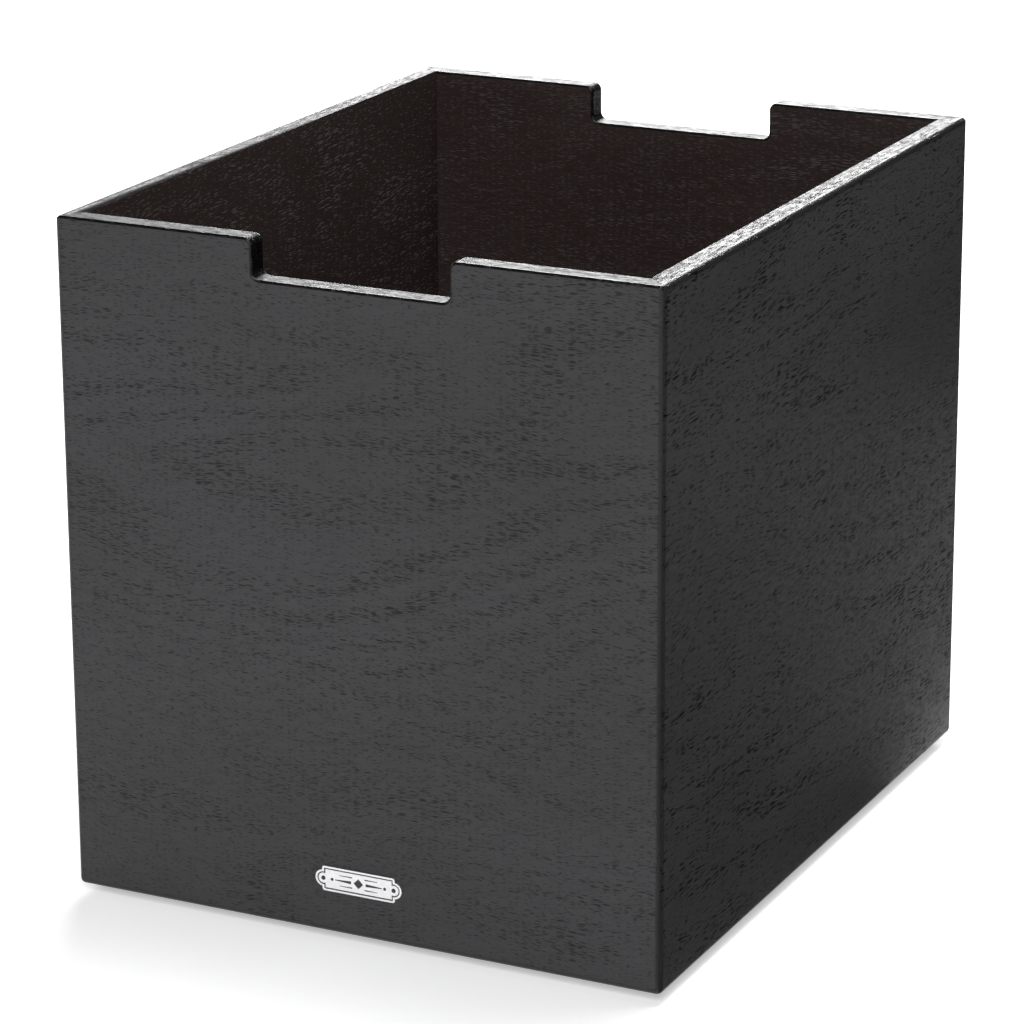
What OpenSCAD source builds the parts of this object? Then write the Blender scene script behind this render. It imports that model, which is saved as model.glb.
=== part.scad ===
// Tall open storage box of four mitred oak panels with a hand notch in the front and back rims.
// It rolls on four small swivel castors that stand hidden inside the walls, under the base panel.
// Origin: middle of the footprint, on the floor. +X right along the front, front faces -Y, +Z up.

/* [Walls] */
// Outside width, left to right
box_w = 320; // [260:5:420]
// Outside depth, front to back
box_d = 390; // [300:5:480]
// Height of the wall panels
wall_h = 345; // [240:5:420]
// Thickness of the wall panels
wall_t = 12; // [11:0.5:15]
// Radius of the four upright outside corners
corner_r = 3; // [1:0.5:4]
// Clear gap between the walls and the floor
floor_gap = 5; // [3:0.5:10]

/* [Hand notches] */
// Width of a notch between its upright sides
notch_w = 104; // [80:2:150]
// Depth of a notch below the rim
notch_h = 20; // [14:1:40]
// Radius of the notch corners
notch_r = 4; // [2:0.5:6]

/* [Base and joints] */
// Thickness of the base panel
base_t = 12; // [12:0.5:15]
// Depth of the groove in the walls that holds the base
groove_depth = 6; // [4:0.5:7]
// Width of a corner spline across the mitre
spline_w = 8; // [6:0.5:8]
// Thickness of a corner spline
spline_t = 3; // [2:0.5:3]
// Distance from the rim down to where a spline stops
spline_stop = 20; // [10:1:60]

/* [Nameplate] */
// Width of the plate body, without its end lobes
plate_w = 39.8; // [34:0.2:50]
// Height of the plate body
plate_h = 13; // [11:0.5:20]
// Thickness of the plate at its raised border
plate_t = 1; // [0.8:0.1:2]
// Distance between the two pins
pin_spacing = 38.5; // [32:0.5:45]
// Radius of the round lobe about each pin
lobe_r = 4.4; // [3:0.1:5]
// Height of the plate's middle above the lower edge of the walls
plate_rise = 28.7; // [15:0.1:30]

/* [Castors] */
// Height of a castor from the floor to its mounting face
castor_h = 42; // [42:1:60]
// Radius of a castor wheel
wheel_r = 16; // [14:0.5:16]
// Distance from the swivel axis back to the wheel's axle
trail = 13; // [10:0.5:14]
// Width of the tyre
tyre_w = 13.6; // [10:0.2:14]
// Side of the square mounting plate
mount_side = 42; // [40:1:46]
// Distance between the screw holes, both ways
mount_pitch = 31; // [30:0.5:34]
// Distance from a wall's inner face to the nearest swivel axis
castor_inset = 36; // [34:1:60]

/* [Hidden] */
$fn = 64;
eps = 0.01;
glue_gap = 0.05;
run_gap = 0.05;
race_gap = 0.05;

inner_w = box_w - 2 * wall_t;
inner_d = box_d - 2 * wall_t;
rim_z = floor_gap + wall_h;
base_z = castor_h;

spline_in = wall_t / 2 + 0.5;
spline_z = base_z + base_t + 6;

plate_corner_r = 1.3;
border_w = 0.9;
border_h = 0.25;
pin_r = 0.8;
pin_head_r = 1.15;
pin_head_h = 0.7;
pin_l = 8;
plate_z = floor_gap + plate_rise;

mount_t = 2.4;
mount_corner_r = 3;
screw_r = 2;
screw_hole_r = 2.2;
screw_l = 10;
screw_head_r = 3.7;
screw_head_h = 2.2;
ball_r = 1.5;
ball_count = 14;
race_pitch_r = 8.5;
race_sink = 0.4;
ball_z = castor_h - mount_t - ball_r + race_sink;
crown_top = ball_z - ball_r + race_sink;
crown_t = 2.5;
crown_bottom = crown_top - crown_t;
crown_r = 12.5;
kingpin_r = 3;
kingpin_head_r = 4.6;
kingpin_head_h = 0.8;
kingpin_foot_r = 5;
kingpin_foot_h = 1.4;
kingpin_foot_gap = 0.3;

leg_in = tyre_w / 2 + 0.8;
leg_t = 2;
leg_back = 7;
leg_front = 15;
leg_boss_r = 5.6;
axle_r = 2;
axle_head_r = 3.2;
axle_head_h = 1.1;
hub_half = leg_in - 0.35;
hub_r = 5;
web_half = 2.5;
rim_in_r = 10.4;
rim_out_r = 12.4;
rim_half = tyre_w / 2 - 0.4;
tyre_round = 2.2;

CORNERS = ["front_left", "front_right", "back_left", "back_right"];
SIDES = [[-1, -1], [1, -1], [-1, 1], [1, 1]];
CASTOR_PIECES = ["plate", "screws", "kingpin", "balls", "fork", "axle", "wheel", "tyre"];

// Where a tangent from point p touches the circle of radius r about c; turn is +1 or -1.
function tangent_point(p, c, r, turn) =
    let (
        away = p - c,
        angle = atan2(away.y, away.x) + turn * acos(r / norm(away))
    )
    c + r * [cos(angle), sin(angle)];

module black_oak() {
    color([0.16, 0.16, 0.165]) children();
}

module zinc() {
    color([0.72, 0.73, 0.74]) children();
}

// ---- Walls ----

module rounded_rectangle(w, d, r) {
    square([w - 2 * r, d], center = true);
    square([w, d - 2 * r], center = true);
    for (side = SIDES)
        translate([side.x * (w / 2 - r), side.y * (d / 2 - r)])
            circle(r = r);
}

// Opening of a hand notch seen from the front, with its middle at x = 0 and the rim at y = 0.
module notch_outline() {
    over = 5;
    half = notch_w / 2;
    translate([-half + notch_r, -notch_h])
        square([notch_w - 2 * notch_r, notch_h + over]);
    translate([-half, -notch_h + notch_r])
        square([notch_w, notch_h - notch_r + over]);
    for (side = [-1, 1]) {
        translate([side * (half - notch_r), -notch_h + notch_r])
            circle(r = notch_r);
        difference() {
            translate([side * (half + notch_r / 2), over / 2 - notch_r / 2])
                square([notch_r, notch_r + over], center = true);
            translate([side * (half + notch_r), -notch_r])
                circle(r = notch_r);
        }
    }
}

// All four walls as one ring; mitre() takes one panel out of it.
module wall_ring() {
    difference() {
        translate([0, 0, floor_gap])
            linear_extrude(wall_h)
                rounded_rectangle(box_w, box_d, corner_r);
        translate([-inner_w / 2, -inner_d / 2, -eps])
            cube([inner_w, inner_d, rim_z + 1]);
        base_groove();
        for (corner = SIDES)
            corner_spline(corner, glue_gap);
    }
}

module base_groove() {
    translate([0, 0, base_z + base_t / 2])
        cube([inner_w + 2 * groove_depth, inner_d + 2 * groove_depth, base_t], center = true);
}

// Keeps what lies between the two 45 degree mitres at the ends of one wall.
module mitre(length, depth) {
    out = 2;
    reach = wall_t + 8;
    intersection() {
        children();
        linear_extrude(rim_z + 1)
            polygon([
                [-length / 2 - out, -depth / 2 - out],
                [length / 2 + out, -depth / 2 - out],
                [length / 2 - reach, -depth / 2 + reach],
                [-length / 2 + reach, -depth / 2 + reach]
            ]);
    }
}

module notched_panel() {
    difference() {
        mitre(box_w, box_d) wall_ring();
        translate([0, -box_d / 2 + wall_t + 1, rim_z])
            rotate([90, 0, 0])
                linear_extrude(wall_t + 2)
                    notch_outline();
    }
}

module front_panel() {
    black_oak()
        difference() {
            notched_panel();
            for (side = [-1, 1])
                translate([side * pin_spacing / 2, -box_d / 2, plate_z])
                    rotate([90, 0, 0])
                        cylinder(r = pin_r + glue_gap, h = 2 * pin_l, center = true);
        }
}

module back_panel() {
    black_oak()
        rotate([0, 0, 180])
            notched_panel();
}

module side_panel(turn) {
    black_oak()
        rotate([0, 0, turn])
            mitre(box_d, box_w)
                rotate([0, 0, -turn])
                    wall_ring();
}

module base_panel() {
    slack = 0.3;
    black_oak()
        difference() {
            translate([0, 0, base_z + base_t / 2])
                cube([
                    inner_w + 2 * groove_depth - slack,
                    inner_d + 2 * groove_depth - slack,
                    base_t
                ], center = true);
            for (corner = SIDES)
                at_castor(corner)
                    at_screws()
                        cylinder(r = screw_r + glue_gap, h = screw_l + castor_h + 0.5);
        }
}

// Loose tongue that stands across a mitre, inside both panels.
module corner_spline(corner, grow = 0) {
    color([0.62, 0.48, 0.33])
        translate([
            corner.x * (box_w / 2 - spline_in),
            corner.y * (box_d / 2 - spline_in),
            spline_z - grow
        ])
            rotate([0, 0, -45 * corner.x * corner.y])
                translate([-spline_w / 2 - grow, -spline_t / 2 - grow, 0])
                    cube([
                        spline_w + 2 * grow,
                        spline_t + 2 * grow,
                        rim_z - spline_stop - spline_z + 2 * grow
                    ]);
}

// ---- Nameplate ----

module plate_outline(inset) {
    rounded_rectangle(plate_w - 2 * inset, plate_h - 2 * inset, plate_corner_r - inset);
    for (side = [-1, 1])
        translate([side * pin_spacing / 2, 0])
            circle(r = lobe_r - inset);
}

module on_front(out) {
    translate([0, -box_d / 2 - out, plate_z])
        rotate([90, 0, 0])
            children();
}

module nameplate() {
    color([0.8, 0.8, 0.8])
        on_front(0)
            difference() {
                linear_extrude(plate_t) plate_outline(0);
                translate([0, 0, plate_t - border_h])
                    linear_extrude(1)
                        plate_outline(border_w);
                for (side = [-1, 1])
                    translate([side * pin_spacing / 2, 0, -1])
                        cylinder(r = pin_r + glue_gap, h = plate_t + 2);
            }
}

module nameplate_pins() {
    dome_r = (pin_head_r * pin_head_r + pin_head_h * pin_head_h) / (2 * pin_head_h);
    color([0.2, 0.19, 0.18])
        on_front(plate_t - border_h)
            for (side = [-1, 1])
                translate([side * pin_spacing / 2, 0, 0]) {
                    translate([0, 0, -pin_l])
                        cylinder(r = pin_r, h = pin_l + eps);
                    intersection() {
                        translate([0, 0, pin_head_h - dome_r])
                            sphere(r = dome_r);
                        cylinder(r = pin_head_r + 1, h = pin_head_h + 1);
                    }
                }
}

// ---- Castors: each is drawn about its own swivel axis, with z counted from the floor ----

module at_castor(corner) {
    translate([
        corner.x * (inner_w / 2 - castor_inset),
        corner.y * (inner_d / 2 - castor_inset),
        0
    ])
        children();
}

module at_screws() {
    for (side = SIDES)
        translate([side.x * mount_pitch / 2, side.y * mount_pitch / 2, 0])
            children();
}

// Half-round groove that a ring of balls runs in.
module ball_race() {
    translate([0, 0, ball_z])
        rotate_extrude()
            translate([race_pitch_r, 0])
                circle(r = ball_r + race_gap);
}

module castor_plate() {
    zinc()
        difference() {
            translate([0, 0, castor_h - mount_t])
                linear_extrude(mount_t)
                    rounded_rectangle(mount_side, mount_side, mount_corner_r);
            at_screws()
                cylinder(r = screw_hole_r, h = castor_h + 1);
            cylinder(r = kingpin_r + glue_gap, h = castor_h + 1);
            translate([0, 0, castor_h - kingpin_head_h - glue_gap])
                cylinder(r = kingpin_head_r + glue_gap, h = 2);
            ball_race();
        }
}

module castor_screws() {
    under = castor_h - mount_t;
    tip_h = 3;
    tip_r = 0.4;
    slot_w = 0.8;
    slot_l = 4;
    slot_deep = 1.2;
    zinc()
        at_screws()
            difference() {
                union() {
                    translate([0, 0, under - screw_head_h])
                        cylinder(r1 = screw_head_r - 1, r2 = screw_head_r, h = 1);
                    translate([0, 0, under - screw_head_h + 1])
                        cylinder(r = screw_head_r, h = screw_head_h - 1);
                    translate([0, 0, under - eps])
                        cylinder(r = screw_r, h = mount_t + screw_l - tip_h + eps);
                    translate([0, 0, castor_h + screw_l - tip_h])
                        cylinder(r1 = screw_r, r2 = tip_r, h = tip_h);
                }
                for (turn = [0, 90])
                    rotate([0, 0, turn])
                        translate([-slot_l / 2, -slot_w / 2, under - screw_head_h - 1])
                            cube([slot_l, slot_w, slot_deep + 1]);
            }
}

module castor_kingpin() {
    foot_top = crown_bottom - kingpin_foot_gap;
    zinc() {
        translate([0, 0, foot_top - kingpin_foot_h])
            cylinder(r = kingpin_foot_r, h = kingpin_foot_h);
        translate([0, 0, foot_top - eps])
            cylinder(r = kingpin_r, h = castor_h - foot_top);
        translate([0, 0, castor_h - kingpin_head_h])
            cylinder(r = kingpin_head_r, h = kingpin_head_h);
    }
}

module castor_balls() {
    color([0.6, 0.6, 0.62])
        for (i = [0 : ball_count - 1])
            rotate([0, 0, 360 / ball_count * i])
                translate([race_pitch_r, 0, ball_z])
                    sphere(r = ball_r);
}

// One upright leg of the fork seen from the side: x is along the trail, y is height.
module leg_outline() {
    axle_at = [trail, wheel_r];
    back_top = [-leg_back, crown_bottom + eps];
    front_top = [leg_front, crown_bottom + eps];
    difference() {
        union() {
            polygon([
                back_top,
                front_top,
                tangent_point(front_top, axle_at, leg_boss_r, 1),
                axle_at,
                tangent_point(back_top, axle_at, leg_boss_r, 1)
            ]);
            translate(axle_at)
                circle(r = leg_boss_r);
        }
        translate(axle_at)
            circle(r = axle_r + glue_gap);
    }
}

module castor_fork() {
    zinc()
        difference() {
            union() {
                translate([0, 0, crown_bottom])
                    linear_extrude(crown_t) {
                        circle(r = crown_r);
                        translate([-leg_in - leg_t, -leg_back])
                            square([2 * (leg_in + leg_t), leg_back + leg_front]);
                    }
                for (side = [-1, 1])
                    translate([side * (leg_in + leg_t / 2) - leg_t / 2, 0, 0])
                        rotate([90, 0, 90])
                            linear_extrude(leg_t)
                                leg_outline();
            }
            cylinder(r = kingpin_r + run_gap, h = castor_h);
            ball_race();
        }
}

module on_axle() {
    translate([0, trail, wheel_r])
        rotate([0, 90, 0])
            children();
}

module castor_axle() {
    over = leg_in + leg_t;
    zinc()
        on_axle() {
            cylinder(r = axle_r, h = 2 * over, center = true);
            for (side = [-1, 1])
                translate([0, 0, side * (over + axle_head_h / 2)])
                    cylinder(r = axle_head_r, h = axle_head_h, center = true);
        }
}

module castor_wheel() {
    color([0.25, 0.25, 0.26])
        on_axle()
            rotate_extrude()
                polygon([
                    [axle_r + run_gap, -hub_half],
                    [hub_r, -hub_half],
                    [hub_r, -web_half],
                    [rim_in_r, -web_half],
                    [rim_in_r, -rim_half],
                    [rim_out_r, -rim_half],
                    [rim_out_r, rim_half],
                    [rim_in_r, rim_half],
                    [rim_in_r, web_half],
                    [hub_r, web_half],
                    [hub_r, hub_half],
                    [axle_r + run_gap, hub_half]
                ]);
}

module castor_tyre() {
    bead = rim_out_r + glue_gap;
    half = tyre_w / 2;
    color([0.1, 0.1, 0.1])
        on_axle()
            rotate_extrude()
                difference() {
                    union() {
                        translate([0, -half])
                            square([wheel_r - tyre_round, tyre_w]);
                        translate([0, -half + tyre_round])
                            square([wheel_r, tyre_w - 2 * tyre_round]);
                        for (side = [-1, 1])
                            translate([wheel_r - tyre_round, side * (half - tyre_round)])
                                circle(r = tyre_round);
                    }
                    translate([-1, -half - 1])
                        square([bead + 1, tyre_w + 2]);
                }
}

front_panel();
back_panel();
side_panel(-90);  // left_panel
side_panel(90);  // right_panel
base_panel();
nameplate();
nameplate_pins();
for (i = [0 : len(CORNERS) - 1]) {
    place = CORNERS[i];
    corner_spline(SIDES[i]);
    at_castor(SIDES[i]) castor_plate();
    at_castor(SIDES[i]) castor_screws();
    at_castor(SIDES[i]) castor_kingpin();
    at_castor(SIDES[i]) castor_balls();
    at_castor(SIDES[i]) castor_fork();
    at_castor(SIDES[i]) castor_axle();
    at_castor(SIDES[i]) castor_wheel();
    at_castor(SIDES[i]) castor_tyre();
}
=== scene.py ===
"""Looks of a tall open storage box in black-stained oak, with a small metal plate and hidden castors."""

import math

import bmesh
import bpy
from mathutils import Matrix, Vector


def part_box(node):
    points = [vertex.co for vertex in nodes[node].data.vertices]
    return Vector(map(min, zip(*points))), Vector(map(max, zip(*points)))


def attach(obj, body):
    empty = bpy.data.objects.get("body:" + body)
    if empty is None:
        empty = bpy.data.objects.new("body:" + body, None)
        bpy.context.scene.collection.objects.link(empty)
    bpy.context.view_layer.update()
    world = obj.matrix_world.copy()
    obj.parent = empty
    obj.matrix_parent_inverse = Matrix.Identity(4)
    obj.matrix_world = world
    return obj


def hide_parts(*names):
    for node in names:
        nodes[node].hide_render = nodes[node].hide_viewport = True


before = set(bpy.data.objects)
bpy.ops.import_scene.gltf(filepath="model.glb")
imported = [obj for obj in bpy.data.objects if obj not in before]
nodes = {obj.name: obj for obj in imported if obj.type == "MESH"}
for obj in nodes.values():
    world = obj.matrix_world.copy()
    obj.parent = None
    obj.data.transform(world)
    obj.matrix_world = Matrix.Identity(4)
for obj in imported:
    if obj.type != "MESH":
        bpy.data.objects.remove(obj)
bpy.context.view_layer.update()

MM = 0.001
CORNERS = ("front_left", "front_right", "back_left", "back_right")

# Walls, from the CAD panels.
front_lo, front_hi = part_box("front_panel")
HALF_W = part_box("right_panel")[1].x
HALF_D = -front_lo.y
WALL = front_hi.y - front_lo.y
FOOT_Z = front_lo.z
RIM_Z = front_hi.z
NOTCH_HALF = 52 * MM
NOTCH_DEEP = 20 * MM
NOTCH_R = 4 * MM

# Roundings of the walls' edges, and the hairline left on each side of a mitre.
CORNER_R = 3 * MM
RIM_R = 1.3 * MM
FOOT_R = 1.6 * MM
SEAM = 0.05 * MM

# Nameplate and its pins, from their CAD boxes. Heights on the plate are measured from its back.
plate_lo, plate_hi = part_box("nameplate")
pin_lo, pin_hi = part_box("nameplate_pins")
PLATE_Z = (plate_lo.z + plate_hi.z) / 2
PLATE_BACK = plate_hi.y
PLATE_TALL = plate_hi.y - plate_lo.y
PLATE_HALF_H = (plate_hi.z - plate_lo.z) / 2
PLATE_ROUND = 1.3 * MM
LOBE_R = 4.4 * MM
PIN_X = plate_hi.x - LOBE_R
PIN_R = pin_hi.x - PIN_X
PIN_TIP = pin_lo.y
BODY_HALF = PIN_X + 0.65 * MM
FIELD_TALL = PLATE_TALL - 0.1 * MM


# ---- Camera ----

def make_camera():
    """A long lens, from the front and to the right, above the rim."""
    data = bpy.data.cameras.new("camera")
    data.sensor_width = 36
    data.lens = 146.9
    data.shift_y = -0.051
    camera = bpy.data.objects.new("camera", data)
    camera.location = (0.8949, -1.8454, 0.8221)
    camera.rotation_euler = [math.radians(angle) for angle in (72.986, 0.265, 26.097)]
    bpy.context.scene.collection.objects.link(camera)
    bpy.context.scene.camera = camera


# ---- Node helpers ----

class Shader:
    """A material's node tree, with short calls for the nodes used here."""

    def __init__(self, name):
        self.material = bpy.data.materials.new(name)
        self.material.use_nodes = True
        self.tree = self.material.node_tree
        self.bsdf = self.tree.nodes["Principled BSDF"]

    def node(self, kind, **settings):
        made = self.tree.nodes.new("ShaderNode" + kind)
        for key, value in settings.items():
            setattr(made, key, value)
        return made

    def feed(self, socket, value):
        if isinstance(value, bpy.types.NodeSocket):
            self.tree.links.new(value, socket)
        else:
            socket.default_value = value

    def math(self, operation, a, b=0.0, c=0.0):
        made = self.node("Math", operation=operation)
        for socket, value in zip(made.inputs, (a, b, c)):
            self.feed(socket, value)
        return made.outputs[0]

    def vector(self, operation, a, b=(0, 0, 0)):
        made = self.node("VectorMath", operation=operation)
        self.feed(made.inputs[0], a)
        self.feed(made.inputs[1], b)
        return made.outputs[0]

    def place(self):
        return self.node("TexCoord").outputs["Object"]

    def mark(self, name):
        """A number that the mesh carries on its faces."""
        return self.node("Attribute", attribute_name=name).outputs["Fac"]

    def split(self, vector):
        made = self.node("SeparateXYZ")
        self.feed(made.inputs[0], vector)
        return made.outputs

    def join(self, x, y, z):
        made = self.node("CombineXYZ")
        for socket, value in zip(made.inputs, (x, y, z)):
            self.feed(socket, value)
        return made.outputs[0]

    def noise(self, vector, scale=1.0, detail=2.0, rough=0.5):
        made = self.node("TexNoise")
        self.feed(made.inputs["Vector"], vector)
        made.inputs["Scale"].default_value = scale
        made.inputs["Detail"].default_value = detail
        made.inputs["Roughness"].default_value = rough
        return made.outputs["Fac"]

    def cells(self, vector):
        made = self.node("TexVoronoi")
        self.feed(made.inputs["Vector"], vector)
        made.inputs["Scale"].default_value = 1.0
        return made

    def remap(self, value, low, high, to_low=0.0, to_high=1.0, smooth=False):
        made = self.node("MapRange")
        made.interpolation_type = "SMOOTHSTEP" if smooth else "LINEAR"
        for socket, given in zip(made.inputs, (value, low, high, to_low, to_high)):
            self.feed(socket, given)
        return made.outputs[0]

    def mix(self, share, a, b):
        made = self.node("Mix", data_type="RGBA")
        self.feed(made.inputs[0], share)
        self.feed(made.inputs[6], a)
        self.feed(made.inputs[7], b)
        return made.outputs[2]

    def bump(self, height, distance, strength=1.0, under=None):
        made = self.node("Bump")
        made.inputs["Strength"].default_value = strength
        made.inputs["Distance"].default_value = distance
        self.feed(made.inputs["Height"], height)
        if under is not None:
            self.feed(made.inputs["Normal"], under)
        return made.outputs[0]

    def finish(self, color=None, rough=None, metal=None, normal=None, **fixed):
        given = {"Base Color": color, "Roughness": rough, "Metallic": metal, "Normal": normal}
        for name, value in given.items():
            if value is not None:
                self.feed(self.bsdf.inputs[name], value)
        for name, value in fixed.items():
            self.bsdf.inputs[name.replace("_", " ")].default_value = value
        return self.material


def rgb(r, g, b):
    return (r, g, b, 1.0)


# ---- Materials ----

def oak(name, grain, seed, open_grain=1.0, indoors=False):
    """Black-stained oak. grain is the axis along the fibres, seed picks the piece of wood, a higher
    open_grain makes its pores larger, and indoors has the warmer, thinner stain of the inside, where the
    pores are painted light: painted glints."""
    s = Shader(name)
    at = s.split(s.place())
    along, other = (at["X"], at["Y"]) if grain == "x" else (at["Y"], at["X"])
    wood = s.join(s.math("ADD", along, seed * 0.731), s.math("ADD", at["Z"], seed * 0.413), other)
    along, across, deep = s.split(wood)

    # The fibres drift up and down a little along the board.
    drift = s.noise(s.vector("MULTIPLY", wood, (5.0, 8.0, 8.0)), detail=2.0)
    ripple = s.noise(s.vector("MULTIPLY", wood, (26.0, 30.0, 30.0)), detail=1.0)
    across = s.math("MULTIPLY_ADD", s.math("SUBTRACT", drift, 0.5), 0.030, across)
    across = s.math("MULTIPLY_ADD", s.math("SUBTRACT", ripple, 0.5), 0.0050, across)
    fibre = s.join(along, across, deep)

    # Growth rings: long arches of early wood, where the pores lie close together.
    arch = s.noise(s.vector("MULTIPLY", fibre, (1.7, 7.0, 7.0)), detail=1.0, rough=0.4)
    ring = s.math("FRACT", s.math("MULTIPLY_ADD", arch, 26.0, s.math("MULTIPLY", across, 18.0)))
    early = s.remap(s.math("PINGPONG", ring, 0.5), 0.08, 0.42, 0.0, 1.0, smooth=True)
    patch = s.noise(s.vector("MULTIPLY", wood, (6.0, 14.0, 14.0)), detail=2.0)
    crowd = s.math("MULTIPLY", early, s.remap(patch, 0.35, 0.65, 0.35, 1.0))

    def pores(length, width, small, large):
        """Short dark dashes, one to a cell: small where the pores are few, large where they crowd."""
        size = [open_grain * side for side in (length, width, width)]
        cell = s.cells(s.vector("DIVIDE", fibre, size))
        reach = s.remap(crowd, 0.0, 1.0, small, large)
        reach = s.math("MULTIPLY", reach, s.remap(s.split(cell.outputs["Color"])[0], 0.1, 0.75, 0.25, 1.0))
        return s.remap(s.math("DIVIDE", cell.outputs["Distance"], reach), 0.55, 1.05, 1.0, 0.0, smooth=True)

    coarse = s.math("MULTIPLY", pores(6.0 * MM, 0.85 * MM, 0.24, 0.52), min(1.0, 0.78 * open_grain))
    fine = s.math("MULTIPLY", pores(3.6 * MM, 0.55 * MM, 0.36, 0.52), min(1.0, 0.58 * open_grain))
    pore = s.math("MAXIMUM", coarse, fine)

    # Fibres, clouds in the stain and small unevenness of the lacquer.
    streak = s.noise(s.vector("MULTIPLY", fibre, (42.0, 2400.0, 2400.0)), detail=3.0, rough=0.6)
    cloud = s.noise(s.vector("MULTIPLY", wood, (4.0, 9.0, 9.0)), detail=3.0, rough=0.55)
    mottle = s.noise(s.vector("MULTIPLY", fibre, (130.0, 520.0, 480.0)), detail=2.0, rough=0.6)

    # Roundings and end grain are painted near black, which is painted shade, and the roundings are rubbed in
    # places.
    arris = s.mark("arris")
    rub = s.math("MULTIPLY", arris, s.remap(s.noise(wood, 160.0, 4.0, 0.65), 0.50, 0.72, smooth=True))
    painted_dark_edges = s.math("MAXIMUM", arris, s.mark("endgrain"))

    inside = 1.0 if indoors else s.mark("inside")
    stain = s.mix(s.remap(cloud, 0.3, 0.7), rgb(0.030, 0.0295, 0.0315), rgb(0.041, 0.0402, 0.0435))
    warm = s.mix(s.remap(cloud, 0.3, 0.7), rgb(0.032, 0.0185, 0.0175), rgb(0.046, 0.031, 0.028))
    stain = s.mix(inside, stain, warm)
    stain = s.mix(s.math("MULTIPLY", streak, 0.35), stain, rgb(0.010, 0.009, 0.009))
    # Pores are black outside. Inside they are light, a painted glint on the pores' walls.
    pore_black_and_painted_glint = s.mix(inside, rgb(0.001, 0.001, 0.001), rgb(0.085, 0.075, 0.070))
    color = s.mix(pore, stain, pore_black_and_painted_glint)
    # Painted shade: the roundings and the end grain are darkened to near black.
    color = s.mix(painted_dark_edges, color, rgb(0.002, 0.002, 0.002))
    color = s.mix(s.math("MULTIPLY", rub, 0.30), color, rgb(0.050, 0.043, 0.038))

    rough = s.remap(cloud, 0.3, 0.7, 0.38, 0.46)
    rough = s.math("MULTIPLY_ADD", streak, 0.08, rough)
    rough = s.math("MULTIPLY_ADD", pore, 0.22, rough)
    rough = s.math("MULTIPLY_ADD", s.remap(mottle, 0.4, 0.7), 0.20, rough)
    rough = s.math("MULTIPLY_ADD", painted_dark_edges, s.math("SUBTRACT", 0.26, rough), rough)
    fibres = s.bump(streak, 0.05 * MM, 0.6)
    waves = s.bump(s.math("MULTIPLY", mottle, s.math("SUBTRACT", 1.0, painted_dark_edges)), 0.12 * MM, 1.0, fibres)
    dents = s.bump(s.math("SUBTRACT", 1.0, pore), 0.16 * MM, 1.0, waves)
    return s.finish(color, rough, normal=dents, IOR=1.38)


def plain_wood(name):
    """Raw beech for the tongues that stand inside the mitres."""
    s = Shader(name)
    fibre = s.vector("MULTIPLY", s.place(), (900.0, 900.0, 30.0))
    grain = s.noise(fibre, 1.0, 3.0)
    fleck = s.cells(s.vector("MULTIPLY", s.place(), (1200.0, 1200.0, 300.0))).outputs["Distance"]
    color = s.mix(grain, rgb(0.50, 0.33, 0.19), rgb(0.36, 0.22, 0.12))
    color = s.mix(s.remap(fleck, 0.1, 0.2, 0.4, 0.0), color, rgb(0.25, 0.14, 0.07))
    return s.finish(color, s.remap(grain, 0.3, 0.7, 0.6, 0.75), normal=s.bump(grain, 0.05 * MM, 0.5))


def metal(name, light, dark, rough_low, rough_high, grain=(400.0, 400.0, 400.0), depth=0.01):
    """Plated or drawn metal: a mottled colour, and faint lines that grain stretches."""
    s = Shader(name)
    place = s.place()
    cloud = s.noise(place, 220.0, 3.0, 0.6)
    lines = s.noise(s.vector("MULTIPLY", place, grain), 1.0, 3.0, 0.6)
    spangle = s.cells(s.vector("MULTIPLY", place, (520.0, 520.0, 520.0))).outputs["Color"]
    share = s.math("MULTIPLY_ADD", s.split(spangle)[0], 0.25, s.math("MULTIPLY", cloud, 0.75))
    color = s.mix(share, dark, light)
    rough = s.remap(lines, 0.3, 0.7, rough_low, rough_high)
    return s.finish(color, rough, 1.0, s.bump(lines, depth * MM, 0.5))


def enamel(name):
    """Black fill in the plate's engraved lines, and the blackened pins."""
    s = Shader(name)
    speck = s.noise(s.place(), 3000.0, 3.0, 0.6)
    color = s.mix(speck, rgb(0.010, 0.010, 0.011), rgb(0.030, 0.029, 0.028))
    return s.finish(color, s.remap(speck, 0.3, 0.7, 0.32, 0.5), normal=s.bump(speck, 0.01 * MM, 0.6))


def moulded(name, light, dark, rough_low, rough_high, scale, depth):
    """Moulded plastic or rubber with a fine grain, and patches of dust."""
    s = Shader(name)
    place = s.place()
    grain = s.noise(place, scale, 3.0, 0.55)
    cloud = s.noise(place, 120.0, 3.0, 0.6)
    dust = s.remap(s.noise(place, 300.0, 5.0, 0.7), 0.55, 0.78, 0.0, 0.35, smooth=True)
    color = s.mix(dust, s.mix(cloud, dark, light), rgb(0.16, 0.15, 0.135))
    rough = s.math("ADD", s.remap(grain, 0.3, 0.7, rough_low, rough_high), s.math("MULTIPLY", dust, 0.3))
    return s.finish(color, rough, normal=s.bump(grain, depth * MM, 0.7))


def floor_paint():
    """White floor with a little light of its own, so that it stays white under weak lamps."""
    s = Shader("floor")
    speck = s.noise(s.place(), 30.0, 4.0, 0.6)
    color = s.mix(speck, rgb(0.86, 0.86, 0.865), rgb(0.88, 0.88, 0.88))
    return s.finish(color, 0.75, normal=s.bump(speck, 0.02 * MM, 0.2), Specular_IOR_Level=0.2,
                    Emission_Color=rgb(1, 1, 1), Emission_Strength=0.42)


# ---- Mesh helpers ----

def mesh_object(name, bm, *materials):
    data = bpy.data.meshes.new(name)
    bm.normal_update()
    bm.to_mesh(data)
    bm.free()
    made = bpy.data.objects.new(name, data)
    bpy.context.scene.collection.objects.link(made)
    for material in materials:
        data.materials.append(material)
    return made


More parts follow.
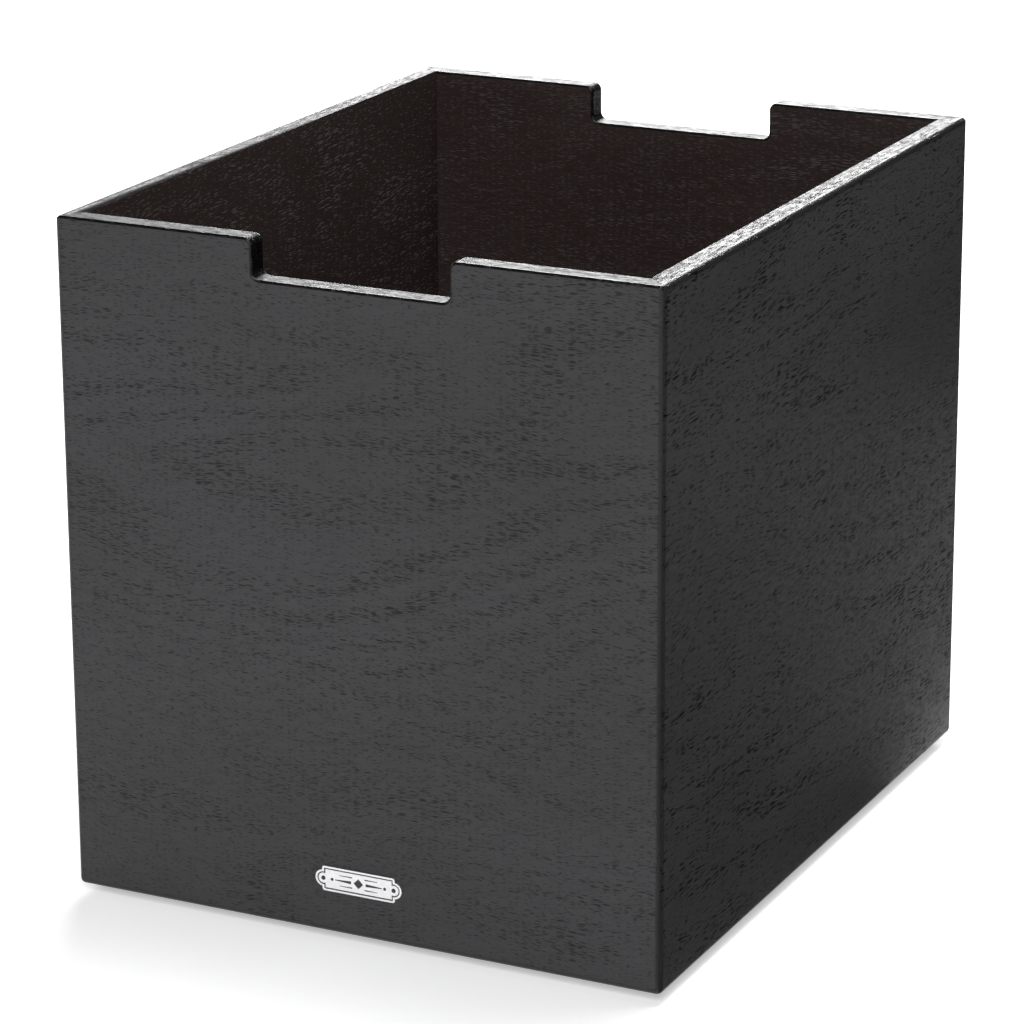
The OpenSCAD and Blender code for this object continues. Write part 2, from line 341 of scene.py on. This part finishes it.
def soften(made, sharp=40):
    """Smooth shading that keeps flat faces flat and stops at sharp edges."""
    data = made.data
    data.polygons.foreach_set("use_smooth", [True] * len(data.polygons))
    data.set_sharp_from_angle(angle=math.radians(sharp))
    weigh = made.modifiers.new("weighted", "WEIGHTED_NORMAL")
    weigh.keep_sharp = True
    weigh.weight = 100


def arc(cx, cy, r, start, end, steps):
    angles = [math.radians(start + (end - start) * i / steps) for i in range(steps + 1)]
    return [(cx + r * math.cos(a), cy + r * math.sin(a)) for a in angles]


# ---- Walls ----

def rim_line():
    """Rim of a notched panel seen from outside, left to right: x is along the panel, then height."""
    steps = 8
    half, low, r = NOTCH_HALF, RIM_Z - NOTCH_DEEP, NOTCH_R
    left = arc(-half - r, RIM_Z - r, r, 90, 0, steps) + arc(-half + r, low + r, r, 180, 270, steps)
    return left + [(-x, z) for x, z in reversed(left)]


def wall_ring():
    """All four walls as one closed ring with rounded edges. Three face marks tell the oak where it is:
    arris on the roundings, inside on the inner walls and endgrain on the sides of the notches."""
    bm = bmesh.new()
    arris = bm.faces.layers.float.new("arris")
    inside = bm.faces.layers.float.new("inside")
    endgrain = bm.faces.layers.float.new("endgrain")
    notch = rim_line()
    walk = [(-HALF_W, -HALF_D, RIM_Z)] + [(x, -HALF_D, z) for x, z in notch]
    walk += [(HALF_W, -HALF_D, RIM_Z)]
    walk += [(-x, -y, z) for x, y, z in walk]

    def vert(x, y, z, inset):
        # An inner point is the outer one moved in by one wall.
        if inset:
            x = max(-HALF_W + WALL, min(HALF_W - WALL, x))
            y = max(-HALF_D + WALL, min(HALF_D - WALL, y))
        return bm.verts.new((x, y, z))

    outer = [vert(*p, False) for p in walk]
    inner = [vert(*p, True) for p in walk]
    last = len(walk) // 2 - 1
    corners = (0, last, last + 1, len(walk) - 1)
    foot_out = {i: vert(*walk[i][:2], FOOT_Z, False) for i in corners}
    foot_in = {i: vert(*walk[i][:2], FOOT_Z, True) for i in corners}

    for i in range(len(walk)):
        j = (i + 1) % len(walk)
        bm.faces.new((outer[i], outer[j], inner[j], inner[i]))
    for start, end in zip(corners, corners[1:] + corners[:1]):
        span = list(range(start, end + 1)) if end > start else [start, end]
        bm.faces.new([foot_out[start], foot_out[end]] + [outer[i] for i in reversed(span)])
        bm.faces.new([foot_in[end], foot_in[start]] + [inner[i] for i in span])[inside] = 1.0
        bm.faces.new((foot_out[start], foot_in[start], foot_in[end], foot_out[end]))
    bmesh.ops.recalc_face_normals(bm, faces=bm.faces)

    def on_wall(v, inset=0.0):
        return abs(abs(v.co.x) - HALF_W + inset) < 1e-6, abs(abs(v.co.y) - HALF_D + inset) < 1e-6

    def bevel(edges, offset, segments, painted_shade=1.0):
        made = bmesh.ops.bevel(bm, geom=edges, offset=offset, segments=segments, profile=0.5,
                               affect="EDGES", clamp_overlap=True)
        # The arris mark sets how much painted shade the oak puts on these roundings.
        for face in made["faces"]:
            face[arris] = painted_shade

    def ends_at_corners(edge, inset=0.0):
        return all(all(on_wall(v, inset)) for v in edge.verts)

    # The uprights, and with them the outer feet and the side walls' outer rims.
    # The uprights' roundings get half of the painted shade.
    bevel([e for e in bm.edges if ends_at_corners(e)], CORNER_R, 8, 0.5)

    # Of the other sharp edges, only the side walls' inner rims stay as they are.
    sharp = [e for e in bm.edges if len(e.link_faces) == 2 and e.calc_face_angle() > math.radians(60)]
    above = FOOT_Z + 0.1
    rim = [e for e in sharp if not ends_at_corners(e, WALL) and all(v.co.z > above for v in e.verts)]
    foot = [e for e in sharp if all(v.co.z < FOOT_Z + 1e-6 for v in e.verts)]
    bevel(rim, RIM_R, 5)
    bevel([e for e in foot if e.is_valid], FOOT_R, 5)

    bm.normal_update()
    for face in bm.faces:
        if abs(face.normal.x) > 0.6 and abs(face.calc_center_median().x) < NOTCH_HALF + NOTCH_R:
            face[endgrain] = 1.0
    return bm


def cut_panel(ring, name, axis, sign, material):
    """One panel of the ring, cut off at its two mitres. It faces along axis, to the side of sign."""
    bm = ring.copy()
    for turn in (1, -1):
        x, y = (turn, sign) if axis == "y" else (sign, turn)
        corner = Vector((x * HALF_W, y * HALF_D, 0))
        outward = Vector((x, -y, 0)).normalized()
        if axis == "x":
            outward = -outward
        geom = bm.verts[:] + bm.edges[:] + bm.faces[:]
        made = bmesh.ops.bisect_plane(bm, geom=geom, dist=1e-7, plane_co=corner - outward * SEAM,
                                      plane_no=outward, clear_outer=True)
        cut = [e for e in made["geom_cut"] if isinstance(e, bmesh.types.BMEdge)]
        bmesh.ops.edgenet_fill(bm, edges=cut)
    # The ring's far side is still there where a mitre plane missed it.
    reach = (HALF_D if axis == "y" else HALF_W) - WALL - 1e-4
    far = [v for v in bm.verts if sign * getattr(v.co, axis) <= reach]
    bmesh.ops.delete(bm, geom=far, context="VERTS")
    bmesh.ops.recalc_face_normals(bm, faces=bm.faces)
    made = mesh_object(name, bm, material)
    soften(made)
    return made


def make_walls():
    ring = wall_ring()
    panels = (("front", "y", -1, oak("oak_front", "x", 1)),
              ("back", "y", 1, oak("oak_back", "x", 2)),
              ("left", "x", -1, oak("oak_left", "y", 3, 1.4)),
              ("right", "x", 1, oak("oak_right", "y", 4, 1.7)))
    for place, axis, sign, material in panels:
        panel = cut_panel(ring, place + "_panel_wood", axis, sign, material)
        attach(panel, "box")
        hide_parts(place + "_panel")
    ring.free()


# ---- Nameplate ----

def plate_outline(inset):
    """Points round the plate, moved in by inset: a rounded bar with a round lobe at each end."""
    half_w, half_h = BODY_HALF - inset, PLATE_HALF_H - inset
    r = max(PLATE_ROUND - inset, 0.12 * MM)
    lobe = LOBE_R - inset
    meet = math.degrees(math.acos((half_w - PIN_X) / lobe))
    quarter = arc(PIN_X, 0, lobe, 0, meet, 14) + arc(half_w - r, half_h - r, r, 0, 90, 6)
    half = quarter + [(-x, z) for x, z in reversed(quarter)]
    return half + [(-x, -z) for x, z in half]


def skin_rings(bm, rings):
    """A closed skin over rings of points of equal number, with a flat face at both ends."""
    rings = [[bm.verts.new(point) for point in ring] for ring in rings]
    for low, high in zip(rings, rings[1:]):
        for i in range(len(low)):
            j = (i + 1) % len(low)
            if (low[i].co - low[j].co).length > 1e-7:
                bm.faces.new((low[i], low[j], high[j], high[i]))
    bm.faces.new(rings[-1])
    bm.faces.new(list(reversed(rings[0])))


def make_plate(silver, black):
    """The metal: a raised border, a black line along it and a flat field."""
    top, groove = PLATE_TALL, PLATE_TALL - 0.28 * MM
    border, line = 1.10 * MM, 1.75 * MM
    layers = [(0, 0), (0, top - 0.25 * MM), (0.08 * MM, top - 0.08 * MM), (0.25 * MM, top),
              (border - 0.12 * MM, top), (border, top - 0.06 * MM), (border + 0.06 * MM, groove),
              (line - 0.06 * MM, groove), (line, top - 0.14 * MM), (line + 0.1 * MM, FIELD_TALL)]
    bm = bmesh.new()
    skin_rings(bm, [[(x, PLATE_BACK - height, PLATE_Z + z) for x, z in plate_outline(inset)]
                    for inset, height in layers])
    bmesh.ops.remove_doubles(bm, verts=bm.verts, dist=1e-7)
    bmesh.ops.recalc_face_normals(bm, faces=bm.faces)
    for face in bm.faces:
        in_groove = all(abs(PLATE_BACK - v.co.y - groove) < 1e-6 for v in face.verts)
        face.material_index = 1 if in_groove else 0
    plate = mesh_object("nameplate_metal", bm, silver, black)
    soften(plate, 35)
    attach(plate, "box")
    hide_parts("nameplate")


def make_ornament(black):
    """A neutral ornament in the field, in mm from its middle: a lozenge between two tapering rules that
    end in dots, with short rules above and below."""
    field = PLATE_BACK - FIELD_TALL
    bm = bmesh.new()

    def tile(points):
        skin_rings(bm, [[(x * MM, y, PLATE_Z + z * MM) for x, z in points]
                        for y in (field + 0.02 * MM, field - 0.035 * MM)])

    tile([(-2.6, 0), (0, -2.6), (2.6, 0), (0, 2.6)])
    for side in (-1, 1):
        tile([(side * 4.0, -0.75), (side * 12.8, -0.22), (side * 12.8, 0.22), (side * 4.0, 0.75)])
        tile([(side * 14.4 + x, z) for x, z in arc(0, 0, 0.8, 0, 330, 11)])
        for up in (-1, 1):
            tile([(side * 3.4, up * 2.7 - 0.3), (side * 10.5, up * 2.7 - 0.14),
                  (side * 10.5, up * 2.7 + 0.14), (side * 3.4, up * 2.7 + 0.3)])
    bmesh.ops.recalc_face_normals(bm, faces=bm.faces)
    ornament = mesh_object("nameplate_ornament", bm, black)
    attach(ornament, "box")


def make_pins(black):
    """Two domed pin heads, each a half ball pressed to the pin's height."""
    rows, turns = 10, 32
    circle = [2 * math.pi * k / turns for k in range(turns)]
    base = PLATE_BACK - PLATE_TALL + 0.14 * MM
    bm = bmesh.new()
    for side in (-1, 1):
        rings = []
        for row in range(rows):
            up = math.pi / 2 * row / rows
            y = base + (PIN_TIP - base) * math.sin(up)
            r = PIN_R * math.cos(up)
            rings.append([
                bm.verts.new((side * PIN_X + r * math.cos(a), y, PLATE_Z + r * math.sin(a))) for a in circle
            ])
        tip = bm.verts.new((side * PIN_X, PIN_TIP, PLATE_Z))
        for low, high in zip(rings, rings[1:]):
            for k in range(turns):
                bm.faces.new((low[k], low[k - 1], high[k - 1], high[k]))
        for k in range(turns):
            bm.faces.new((rings[-1][k], rings[-1][k - 1], tip))
        bm.faces.new(rings[0])
    bmesh.ops.recalc_face_normals(bm, faces=bm.faces)
    pins = mesh_object("nameplate_pin_heads", bm, black)
    soften(pins, 60)
    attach(pins, "box")
    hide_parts("nameplate_pins")


# ---- CAD pieces that keep their shape ----

def dress(node, material, bevel=0.0):
    """A better material on a CAD piece, and finely rounded edges."""
    piece = nodes[node]
    piece.data.materials.clear()
    piece.data.materials.append(material)
    if bevel:
        round_off = piece.modifiers.new("edges", "BEVEL")
        round_off.width = bevel
        round_off.segments = 2
        round_off.limit_method = "ANGLE"
        round_off.angle_limit = math.radians(50)
        round_off.harden_normals = False


def dress_castors(zinc, ball_steel, plastic, rubber):
    looks = {"plate": zinc, "screws": zinc, "kingpin": zinc, "fork": zinc, "axle": zinc,
             "balls": ball_steel, "wheel": plastic, "tyre": rubber}
    for corner in CORNERS:
        for piece, material in looks.items():
            rounded = piece in ("plate", "fork", "axle")
            dress(f"castor_{piece}_{corner}", material, 0.25 * MM if rounded else 0.0)


# ---- Floor and light ----

def softbox(name, place, size, power):
    """A soft lamp that faces the middle of the box and isn't seen itself."""
    data = bpy.data.lights.new(name, "AREA")
    data.shape = "RECTANGLE"
    data.size, data.size_y = size
    data.energy = power
    light = bpy.data.objects.new(name, data)
    light.location = place
    aim = Vector((0, 0, 0.2)) - Vector(place)
    light.rotation_euler = aim.to_track_quat("-Z", "Y").to_euler()
    light.visible_camera = False
    bpy.context.scene.collection.objects.link(light)


def make_world():
    """A pale studio wall all round at eye level, and a dark ceiling."""
    world = bpy.data.worlds.new("studio")
    bpy.context.scene.world = world
    world.use_nodes = True
    tree = world.node_tree
    place = tree.nodes.new("ShaderNodeTexCoord")
    split = tree.nodes.new("ShaderNodeSeparateXYZ")
    fade = tree.nodes.new("ShaderNodeMapRange")
    fade.interpolation_type = "SMOOTHSTEP"
    fade.inputs["From Min"].default_value = 0.06
    fade.inputs["From Max"].default_value = 0.26
    fade.inputs["To Min"].default_value = 0.85
    fade.inputs["To Max"].default_value = 0.10
    tree.links.new(place.outputs["Generated"], split.inputs[0])
    tree.links.new(split.outputs["Z"], fade.inputs[0])
    tree.links.new(fade.outputs[0], tree.nodes["Background"].inputs["Strength"])
    tree.nodes["Background"].inputs["Color"].default_value = rgb(1, 1, 1)


def make_flag():
    """Black cloth to the right of the box: on the floor, at the far end and at the side. Only reflections
    show it, and they darken the right wall. By the wall a triangle is cut away, so that the white floor
    lights the wall's far lower end."""
    wall, side, near, far, low, tall = HALF_W + 2 * MM, 3, -1, 3, MM, 2
    on_floor = ((wall, near), (side, near), (side, far), (wall, far), (wall, 0.75), (0.31, 0.75), (wall, 0.1))
    at_end = ((wall, far), (side, far))
    at_side = ((side, far), (side, near))
    bm = bmesh.new()
    bm.faces.new([bm.verts.new((x, y, low)) for x, y in on_floor])
    for a, b in (at_end, at_side):
        bm.faces.new([bm.verts.new(point) for point in ((*a, low), (*b, low), (*b, tall), (*a, tall))])
    cloth = moulded("black_cloth", rgb(0.02, 0.02, 0.02), rgb(0.01, 0.01, 0.01), 0.9, 1.0, 400.0, 0.01)
    flag = mesh_object("flag", bm, cloth)
    flag.visible_camera = flag.visible_diffuse = flag.visible_shadow = False


def make_stage():
    bm = bmesh.new()
    bmesh.ops.create_grid(bm, x_segments=1, y_segments=1, size=30)
    mesh_object("floor", bm, floor_paint())
    bpy.context.scene.view_settings.view_transform = "Standard"
    make_world()
    make_flag()
    softbox("top_softbox", (0.4, 0.5, 3.2), (1.2, 1.2), 60)
    softbox("front_softbox", (1.2, -2.9, 2.4), (1.6, 1.6), 80)
    softbox("back_softbox", (-0.95, 2.4, 1.25), (1.15, 1.0), 55)


make_camera()
make_walls()
dress("base_panel", oak("oak_base", "y", 5, indoors=True))
spline_wood = plain_wood("spline_beech")
for corner in CORNERS:
    dress(f"corner_spline_{corner}", spline_wood)
silver = metal("plate_nickel", rgb(0.90, 0.90, 0.91), rgb(0.80, 0.80, 0.82), 0.24, 0.36,
               grain=(300.0, 300.0, 3000.0))
black = enamel("black_enamel")
make_plate(silver, black)
make_ornament(black)
make_pins(black)
dress_castors(
    metal("zinc_plate", rgb(0.68, 0.70, 0.73), rgb(0.50, 0.52, 0.56), 0.26, 0.42),
    metal("ball_steel", rgb(0.70, 0.70, 0.71), rgb(0.55, 0.55, 0.57), 0.08, 0.20, depth=0.004),
    moulded("wheel_plastic", rgb(0.13, 0.13, 0.135), rgb(0.09, 0.09, 0.095), 0.38, 0.5, 2500.0, 0.01),
    moulded("tyre_rubber", rgb(0.032, 0.032, 0.034), rgb(0.02, 0.02, 0.021), 0.55, 0.72, 1800.0, 0.02),
)
make_stage()
